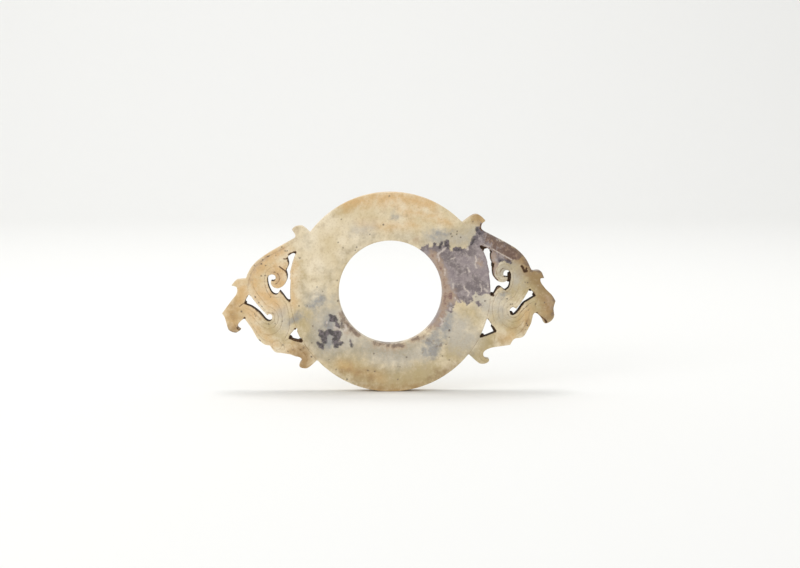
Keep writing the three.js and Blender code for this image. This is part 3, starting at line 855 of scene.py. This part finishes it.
def smooth_curve(name, runs, closed_runs, y, lift):
    """Runs of shares as smooth curves on a face of the plate. An open run's ends lift off it and fade."""
    data = bpy.data.curves.new(name, "CURVE")
    data.dimensions = "3D"
    for run, closed in [(run, False) for run in runs] + [(run, True) for run in closed_runs]:
        spline = data.splines.new("BEZIER")
        spline.bezier_points.add(len(run) - 1)
        spline.use_cyclic_u = closed
        for index, (point, (across, up)) in enumerate(zip(spline.bezier_points, run)):
            at_end = index in (0, len(run) - 1) and not closed
            point.co = place(across, up, y + (math.copysign(lift, y) if at_end else 0))
            point.handle_left_type = "AUTO"
            point.handle_right_type = "AUTO"
    made = bpy.data.objects.new(name, data)
    bpy.context.collection.objects.link(made)
    make_active(made)
    bpy.ops.object.convert(target="MESH")
    return bpy.context.object


def circle_run(across, up, radius, points=16):
    """Shares round a circle."""
    angles = [math.tau * index / points for index in range(points)]
    return [(across + radius * math.cos(angle), up + radius * math.sin(angle)) for angle in angles]


def rim_run(start_degrees, end_degrees, points=8):
    """Shares along the ring's rim, from one angle to another."""
    angles = np.radians(np.linspace(start_degrees, end_degrees, points))
    return [(math.sin(angle), math.cos(angle)) for angle in angles]


def scratched_runs(region):
    """The region's scratched lines with those along the rim, and its small rings."""
    rim_runs = [rim_run(*degrees) for degrees in RIM_LINE_DEGREES]
    circles = [circle_run(*circle) for circle in RING_LINE_SHARES[region]]
    return FINE_LINE_SHARES[region] + rim_runs, circles


def press_in(stone, pattern, geometry, width, depth, inward):
    """Sinks the stone's surface along a pattern, deepest on it and not at all half a width away."""
    name = "carving"
    stone.vertex_groups.new(name=name).add(range(len(stone.data.vertices)), 1, "REPLACE")
    shape(
        stone, "VERTEX_WEIGHT_PROXIMITY", vertex_group=name, target=pattern, proximity_mode="GEOMETRY",
        proximity_geometry={geometry}, min_dist=width / 2, max_dist=0, falloff_type="SMOOTH"
    )
    shape(stone, "DISPLACE", direction="Y", mid_level=0, strength=inward * depth, vertex_group=name)
    stone.vertex_groups.remove(stone.vertex_groups[name])


def carve(stone, region, sizes):
    """Cuts the region's lines and pits into both faces of its stone."""
    fine_runs, circles = scratched_runs(region)
    widest_pit = 2 * max(radius for _, _, radius in PIT_SHARES) * RING_RADIUS
    for y in FACES:
        inward = -math.copysign(1, y)
        lines = (
            (DEEP_LINE_SHARES[region], [], sizes.deep_width, sizes.deep_depth),
            (fine_runs, circles, sizes.fine_width, sizes.fine_depth),
        )
        for runs, closed_runs, width, depth in lines:
            if runs:
                pattern = smooth_curve("lines", runs, closed_runs, y, width / 2)
                press_in(stone, pattern, "EDGE", width, depth, inward)
                remove(pattern)
        pits = bpy.data.meshes.new("pits")
        # A smaller pit's centre stands further off the face, so that less of it reaches the stone
        lifts = [
            math.sqrt((widest_pit / 2) ** 2 - (radius * RING_RADIUS) ** 2) for _, _, radius in PIT_SHARES
        ]
        centres = [
            place(across, up, y + math.copysign(lift, y))
            for (across, up, _), lift in zip(PIT_SHARES, lifts)
        ]
        pits.from_pydata(centres, [], [])
        pattern = bpy.data.objects.new("pits", pits)
        bpy.context.collection.objects.link(pattern)
        press_in(stone, pattern, "VERTEX", widest_pit, sizes.pit_depth, inward)
        remove(pattern)


def distance_to_run(places, run):
    """How far each place is from a run of straight stretches."""
    ends = np.array(run if len(run) > 1 else run * 2)
    nearest = np.full(len(places), np.inf)
    for start, end in zip(ends[:-1], ends[1:]):
        along = end - start
        length_squared = max(along @ along, np.finfo(float).tiny)
        share = np.clip((places - start) @ along / length_squared, 0, 1)
        nearest = np.minimum(nearest, np.linalg.norm(places - start - share[:, None] * along, axis=1))
    return nearest


def depth_in_outline(places, outline):
    """How far each place is inside a closed outline, and below zero outside it."""
    inside = np.zeros(len(places), bool)
    across, up = places.T
    for (x0, z0), (x1, z1) in zip(outline, outline[1:] + outline[:1]):
        crosses = (z0 > up) != (z1 > up)
        rise = z1 - z0 if z1 != z0 else np.finfo(float).tiny
        inside ^= crosses & (across < x0 + (up - z0) * (x1 - x0) / rise)
    distance = distance_to_run(places, outline + outline[:1])
    return np.where(inside, distance, -distance)


def depth_in_marks(places, marks):
    """How far each place is inside the nearest of the marks, and below zero outside them."""
    depth = np.full(len(places), -np.inf)
    for radius, run in marks:
        depth = np.maximum(depth, radius - distance_to_run(places, run))
    return depth


def stain(stone, region):
    """Writes how deep each point of the surface is in every mark, in millimetres, for the material."""
    # Depths are cut off at the farthest. The soil on a wall starts below its clean edge, and the soil in
    # the pits and the soil and painted shade in the lines of a face reach as far down as the face's depth.
    farthest_mm = 3
    clean_edge_mm = 0.16
    crust_mm = 0.15
    face_depth_mm = 0.5
    places = np.empty(3 * len(stone.data.vertices))
    stone.data.vertices.foreach_get("co", places)
    places = places.reshape(-1, 3)
    below_face = (THICKNESS / 2 - np.abs(places[:, 1])) / MM
    shares = (places[:, (0, 2)] - (RING_CENTRE.x, RING_CENTRE.z)) / RING_RADIUS
    radius_in_mm = RING_RADIUS / MM
    marks_by_name = {**MARK_SHARES, **CLOUD_SHARES}
    fields = {name: depth_in_marks(shares, marks) * radius_in_mm for name, marks in marks_by_name.items()}
    great_stain = depth_in_outline(shares, GREAT_STAIN_SHARES) * radius_in_mm
    fields["stain"] = np.maximum(fields["stain"], great_stain)
    in_pocket = np.zeros(len(shares), bool)
    for pocket in SOIL_POCKET_SHARES:
        in_pocket |= depth_in_outline(shares, pocket) > 0
    # On the left bird's walls the soil is no more than a thin crust
    thickest_mm = crust_mm if region == LEFT_BIRD else farthest_mm
    wall_soil = np.where(in_pocket, np.minimum(below_face - clean_edge_mm, thickest_mm), -farthest_mm)
    face_soil = depth_in_marks(shares, FACE_SOIL_SHARES) * radius_in_mm
    pits = [(radius, [(across, up)]) for across, up, radius in PIT_SHARES]
    near_face = below_face < face_depth_mm
    pit_soil = np.where(near_face, depth_in_marks(shares, pits) * radius_in_mm, -farthest_mm)
    fields["soil"] = np.maximum(wall_soil, face_soil)
    fields["pit"] = pit_soil
    fine_runs, circles = scratched_runs(region)
    closed_circles = [circle + circle[:1] for circle in circles]
    lines = [(0, run) for run in DEEP_LINE_SHARES[region] + fine_runs + closed_circles]
    # The lines are painted brown, partly as soil in them and partly as painted shade of the grooves
    fields["line"] = np.where(near_face, depth_in_marks(shares, lines) * radius_in_mm, -farthest_mm)
    for name, values in fields.items():
        attribute = stone.data.attributes.new(name, "FLOAT", "POINT")
        attribute.data.foreach_set("value", np.clip(values, -farthest_mm, farthest_mm).astype(np.float32))


def add(tree, kind, inputs=None, **settings):
    """Adds a node with its settings. Each input takes a value or another node's output."""
    made = tree.nodes.new(kind)
    for name, value in settings.items():
        setattr(made, name, value)
    for socket, value in (inputs or {}).items():
        if isinstance(value, bpy.types.NodeSocket):
            tree.links.new(value, made.inputs[socket])
        else:
            made.inputs[socket].default_value = value
    return made


# The sockets of a Mix node that mixes colours
MIX_FACTOR = 0
MIX_FIRST = 6
MIX_SECOND = 7
MIX_RESULT = 2

# The sockets of a Mix node that mixes plain values, which has the same one for its factor
VALUE_FIRST = 2
VALUE_SECOND = 3
VALUE_RESULT = 0


def worn_nephrite(colours):
    """Nephrite, sawn flat, polished and worn in the ground: opaque, with a satin gloss that comes and goes
    with the mottle, and dull where soil lies on it. The eye reads it by its cream and honey clouds, its
    frayed stains, the soil in its cuts and the shade painted into its carved lines and beside some edges."""
    material = bpy.data.materials.get("worn_nephrite") or bpy.data.materials.new("worn_nephrite")
    material.use_nodes = True
    tree = material.node_tree
    tree.nodes.clear()

    # Object coordinates in millimetres, so that a noise's scale is one over its size
    coordinates = add(tree, "ShaderNodeTexCoord")
    in_mm = add(
        tree, "ShaderNodeVectorMath", {0: coordinates.outputs["Object"], "Scale": 1 / MM}, operation="SCALE"
    ).outputs[0]

    # Each noise is shifted further than the one before, so that no two line up
    shift_mm = Vector((1, 2, 3))
    noise_roughness = 0.62
    noise = {}
    for step, (name, (size_mm, detail, swirl)) in enumerate(NOISES.items()):
        moved = add(tree, "ShaderNodeVectorMath", {0: in_mm, 1: step * shift_mm}).outputs[0]
        noise[name] = add(
            tree, "ShaderNodeTexNoise",
            {
                "Vector": moved, "Scale": 1 / size_mm, "Detail": detail, "Roughness": noise_roughness,
                "Distortion": swirl
            }
        ).outputs["Fac"]

    def depth_in(name):
        """The depth in a mark in millimetres, moved in and out by a noise, so that its edge frays."""
        fray, reach_mm, _, _ = MARK_EDGES[name]
        depth = add(tree, "ShaderNodeAttribute", attribute_name=name).outputs["Fac"]
        frayed = add(
            tree, "ShaderNodeMath", {0: noise[fray], 1: reach_mm, 2: depth}, operation="MULTIPLY_ADD"
        ).outputs[0]
        return add(tree, "ShaderNodeMath", {0: frayed, 1: reach_mm / 2}, operation="SUBTRACT").outputs[0]

    # How much of each layer shows, from none to its strength
    cover = {}

    def built_up(name):
        """A colour of the stone: its ground, with its layers laid over it one by one."""
        ground, layers = COLOUR_LAYERS[name]
        surface = getattr(colours, ground)
        for layer, tint in layers:
            if layer in MARK_EDGES:
                _, _, soft_mm, strength = MARK_EDGES[layer]
                value, start, full = depth_in(layer), -soft_mm, soft_mm
            else:
                source, start, full, strength = TURNS[layer]
                value = noise[source] if source in NOISES else depth_in(source)
            cover[layer] = add(
                tree, "ShaderNodeMapRange",
                {"Value": value, "From Min": start, "From Max": full, "To Max": strength},
                interpolation_type="SMOOTHSTEP"
            ).outputs["Result"]
            over = built_up(tint) if tint in COLOUR_LAYERS else getattr(colours, tint)
            inputs = {MIX_FACTOR: cover[layer], MIX_FIRST: surface, MIX_SECOND: over}
            surface = add(tree, "ShaderNodeMix", inputs, data_type="RGBA").outputs[MIX_RESULT]
        return surface

    surface = built_up("stone")

    # Roughness: satin to duller with the mottle, and dull on the soil
    satin, duller, dull = 0.36, 0.52, 0.9
    satin_below, duller_above = 0.3, 0.7
    polish = add(
        tree, "ShaderNodeMapRange",
        {
            "Value": noise["mottle"], "From Min": satin_below, "From Max": duller_above, "To Min": satin,
            "To Max": duller
        }
    ).outputs["Result"]
    rough = add(
        tree, "ShaderNodeMix", {MIX_FACTOR: cover["soil"], VALUE_FIRST: polish, VALUE_SECOND: dull},
        data_type="FLOAT"
    ).outputs[VALUE_RESULT]

    # The finest roughness of the polish on a slight swell of the surface
    tooth_height, swell_height = 0.006 * MM, 0.03 * MM
    tooth = add(
        tree, "ShaderNodeBump", {"Height": noise["tooth"], "Distance": tooth_height, "Strength": 1}
    ).outputs["Normal"]
    relief = add(
        tree, "ShaderNodeBump",
        {"Height": noise["mottle"], "Distance": swell_height, "Strength": 1, "Normal": tooth}
    ).outputs["Normal"]
    nephrite_ior = 1.61
    shader = add(
        tree, "ShaderNodeBsdfPrincipled",
        {"Base Color": surface, "Roughness": rough, "IOR": nephrite_ior, "Normal": relief}
    )
    add(tree, "ShaderNodeOutputMaterial", {"Surface": shader.outputs[0]})
    return material


def check_closed(stone):
    """Raises an error unless each edge of the stone has a face on both sides."""
    edge_of_corner = np.empty(len(stone.data.loops), np.int32)
    stone.data.loops.foreach_get("edge_index", edge_of_corner)
    faces_at_edge = np.bincount(edge_of_corner, minlength=len(stone.data.edges))
    if not len(faces_at_edge) or not (faces_at_edge == 2).all():
        raise RuntimeError(f"{stone.name} isn't a closed solid")


def finish_stone(stone, region):
    """Shades a stone smoothly, gives it its material and fits it into the frame."""
    smooth_angle = math.radians(60)
    stone.name = region + "_stone"
    stone.data.name = stone.name
    make_active(stone)
    bpy.ops.object.shade_smooth_by_angle(angle=smooth_angle)
    stone.data.materials.clear()
    stone.data.materials.append(worn_nephrite(bpy.context.scene.pendant_colours))
    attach(stone, "root")
    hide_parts(region)


def make_stone(region, neighbours, step, operation):
    """A region of the stone: worn with its neighbours, parted from them at the rim, carved and stained."""
    sizes = bpy.context.scene.pendant_sizes
    stone = worn_blank((region, *neighbours), step, sizes.wear)
    cut_at_rim(stone, operation)
    carve(stone, region, sizes)
    check_closed(stone)
    stain(stone, region)
    finish_stone(stone, region)


class PENDANT_OT_ring(bpy.types.Operator):
    """Make the ring between the birds"""

    bl_idname = "pendant.ring"
    bl_label = "Ring"

    def execute(self, context):
        step = context.scene.pendant_sizes.ring_step
        make_stone(RING, (LEFT_BIRD, RIGHT_BIRD), step, "INTERSECT")
        return {"FINISHED"}


class PENDANT_OT_bird(bpy.types.Operator):
    """Make one of the two openwork birds"""

    bl_idname = "pendant.bird"
    bl_label = "Bird"

    side: bpy.props.EnumProperty(
        name="Side",
        description="The side of the ring that the bird stands on",
        items=[
            (LEFT_BIRD, "Left", "The bird on the viewer's left"),
            (RIGHT_BIRD, "Right", "The bird on the viewer's right"),
        ],
    )

    def execute(self, context):
        step = context.scene.pendant_sizes.bird_step
        make_stone(self.side, (RING,), step, "DIFFERENCE")
        return {"FINISHED"}


def matte_paper(colour):
    """Matte paper, pale and without gloss, which shows a soft shadow and nothing else."""
    material = bpy.data.materials.new("matte_paper")
    material.use_nodes = True
    tree = material.node_tree
    tree.nodes.clear()
    shader = add(tree, "ShaderNodeBsdfDiffuse", {"Color": colour})
    add(tree, "ShaderNodeOutputMaterial", {"Surface": shader.outputs[0]})
    return material


def make_backdrop(colour):
    """One sheet of paper that lies under the pendant and bends up behind it."""
    width, front, back, bend, rise = 4, 1.8, 0.9, 0.5, 2.2
    bend_steps = 32
    smooth_angle = math.radians(6)
    deselect_all()
    bpy.ops.mesh.primitive_plane_add(size=1, location=(0, 0, 0))
    sheet = bpy.context.object
    sheet.name = "backdrop"
    sheet.scale = (width, front + back, 1)
    sheet.location = (0, (back - front) / 2, 0)
    bpy.ops.object.transform_apply(location=True, rotation=False, scale=True)
    make_active(sheet)
    bpy.ops.object.mode_set(mode="EDIT")
    bpy.ops.mesh.select_all(action="DESELECT")
    bpy.ops.object.mode_set(mode="OBJECT")
    for edge in sheet.data.edges:
        edge.select = all(sheet.data.vertices[index].co.y > 0 for index in edge.vertices)
    bpy.ops.object.mode_set(mode="EDIT")
    bpy.ops.mesh.select_mode(type="EDGE")
    bpy.ops.mesh.spin(steps=bend_steps, angle=-math.pi / 2, center=(0, back, bend), axis=(1, 0, 0))
    bpy.ops.mesh.extrude_region_move(TRANSFORM_OT_translate={"value": (0, 0, rise)})
    bpy.ops.mesh.select_all(action="SELECT")
    bpy.ops.mesh.normals_make_consistent(inside=False)
    bpy.ops.object.mode_set(mode="OBJECT")
    bpy.ops.object.shade_smooth_by_angle(angle=smooth_angle)
    sheet.data.materials.append(matte_paper(colour))


def add_lamp(name, location, aim, size, watts):
    """A square soft lamp that shines at a point."""
    data = bpy.data.lights.new(name, "AREA")
    data.size = size
    data.energy = watts
    lamp = bpy.data.objects.new(name, data)
    lamp.location = location
    lamp.rotation_euler = (Vector(aim) - Vector(location)).to_track_quat("-Z", "Y").to_euler()
    bpy.context.collection.objects.link(lamp)


def add_camera(stage):
    """The camera at the photograph's angle: a little above the pendant and to its left."""
    aim = RING_CENTRE + Vector((stage.aim_across, 0, stage.aim_up))
    direction = Vector((
        -math.sin(stage.turn) * math.cos(stage.elevation),
        -math.cos(stage.turn) * math.cos(stage.elevation),
        math.sin(stage.elevation),
    ))
    nearest_seen = 10 * MM
    data = bpy.data.cameras.new("camera")
    data.lens = stage.focal_length
    data.clip_start = nearest_seen
    camera = bpy.data.objects.new("camera", data)
    camera.location = aim + stage.distance * direction
    camera.rotation_euler = (-direction).to_track_quat("-Z", "Y").to_euler()
    bpy.context.collection.objects.link(camera)
    bpy.context.scene.camera = camera


def add_sky(strength):
    """Even white light from all round."""
    sky = bpy.data.worlds.new("even_light")
    sky.use_nodes = True
    background = sky.node_tree.nodes["Background"].inputs
    background["Color"].default_value = linear("#FFFFFF")
    background["Strength"].default_value = strength
    bpy.context.scene.world = sky


class PENDANT_OT_stage(bpy.types.Operator):
    """Set up the backdrop, the lamps and the camera"""

    bl_idname = "pendant.stage"
    bl_label = "Stage"

    def execute(self, context):
        stage = context.scene.pendant_stage
        make_backdrop(context.scene.pendant_colours.floor)
        for name, (location, aim, size) in LAMPS.items():
            add_lamp(name, location, aim, size, getattr(stage, name))
        add_sky(stage.sky)
        add_camera(stage)
        context.scene.view_settings.view_transform = "Standard"
        if context.scene.camera is None:
            raise RuntimeError("The stage has no camera")
        return {"FINISHED"}


class PENDANT_PT_tools(bpy.types.Panel):
    """The pendant's pieces and their settings"""

    bl_label = "Jade pendant"
    bl_idname = "PENDANT_PT_tools"
    bl_space_type = "VIEW_3D"
    bl_region_type = "UI"
    bl_category = "Pendant"

    def draw(self, context):
        column = self.layout.column()
        column.operator(PENDANT_OT_ring.bl_idname)
        for side in (LEFT_BIRD, RIGHT_BIRD):
            column.operator(PENDANT_OT_bird.bl_idname).side = side
        column.operator(PENDANT_OT_stage.bl_idname)
        scene = context.scene
        for group in (scene.pendant_sizes, scene.pendant_colours, scene.pendant_stage):
            for name in group.__annotations__:
                column.prop(group, name)


CLASSES = (
    PendantSizes, PendantColours, PendantStage, PENDANT_OT_ring, PENDANT_OT_bird, PENDANT_OT_stage,
    PENDANT_PT_tools,
)


def register():
    for made in CLASSES:
        bpy.utils.register_class(made)
    bpy.types.Scene.pendant_sizes = bpy.props.PointerProperty(type=PendantSizes)
    bpy.types.Scene.pendant_colours = bpy.props.PointerProperty(type=PendantColours)
    bpy.types.Scene.pendant_stage = bpy.props.PointerProperty(type=PendantStage)


def unregister():
    del bpy.types.Scene.pendant_stage
    del bpy.types.Scene.pendant_colours
    del bpy.types.Scene.pendant_sizes
    for made in reversed(CLASSES):
        bpy.utils.unregister_class(made)


def main():
    register()
    bpy.ops.pendant.ring()
    bpy.ops.pendant.bird(side=LEFT_BIRD)
    bpy.ops.pendant.bird(side=RIGHT_BIRD)
    bpy.ops.pendant.stage()


if __name__ == "__main__":
    main()
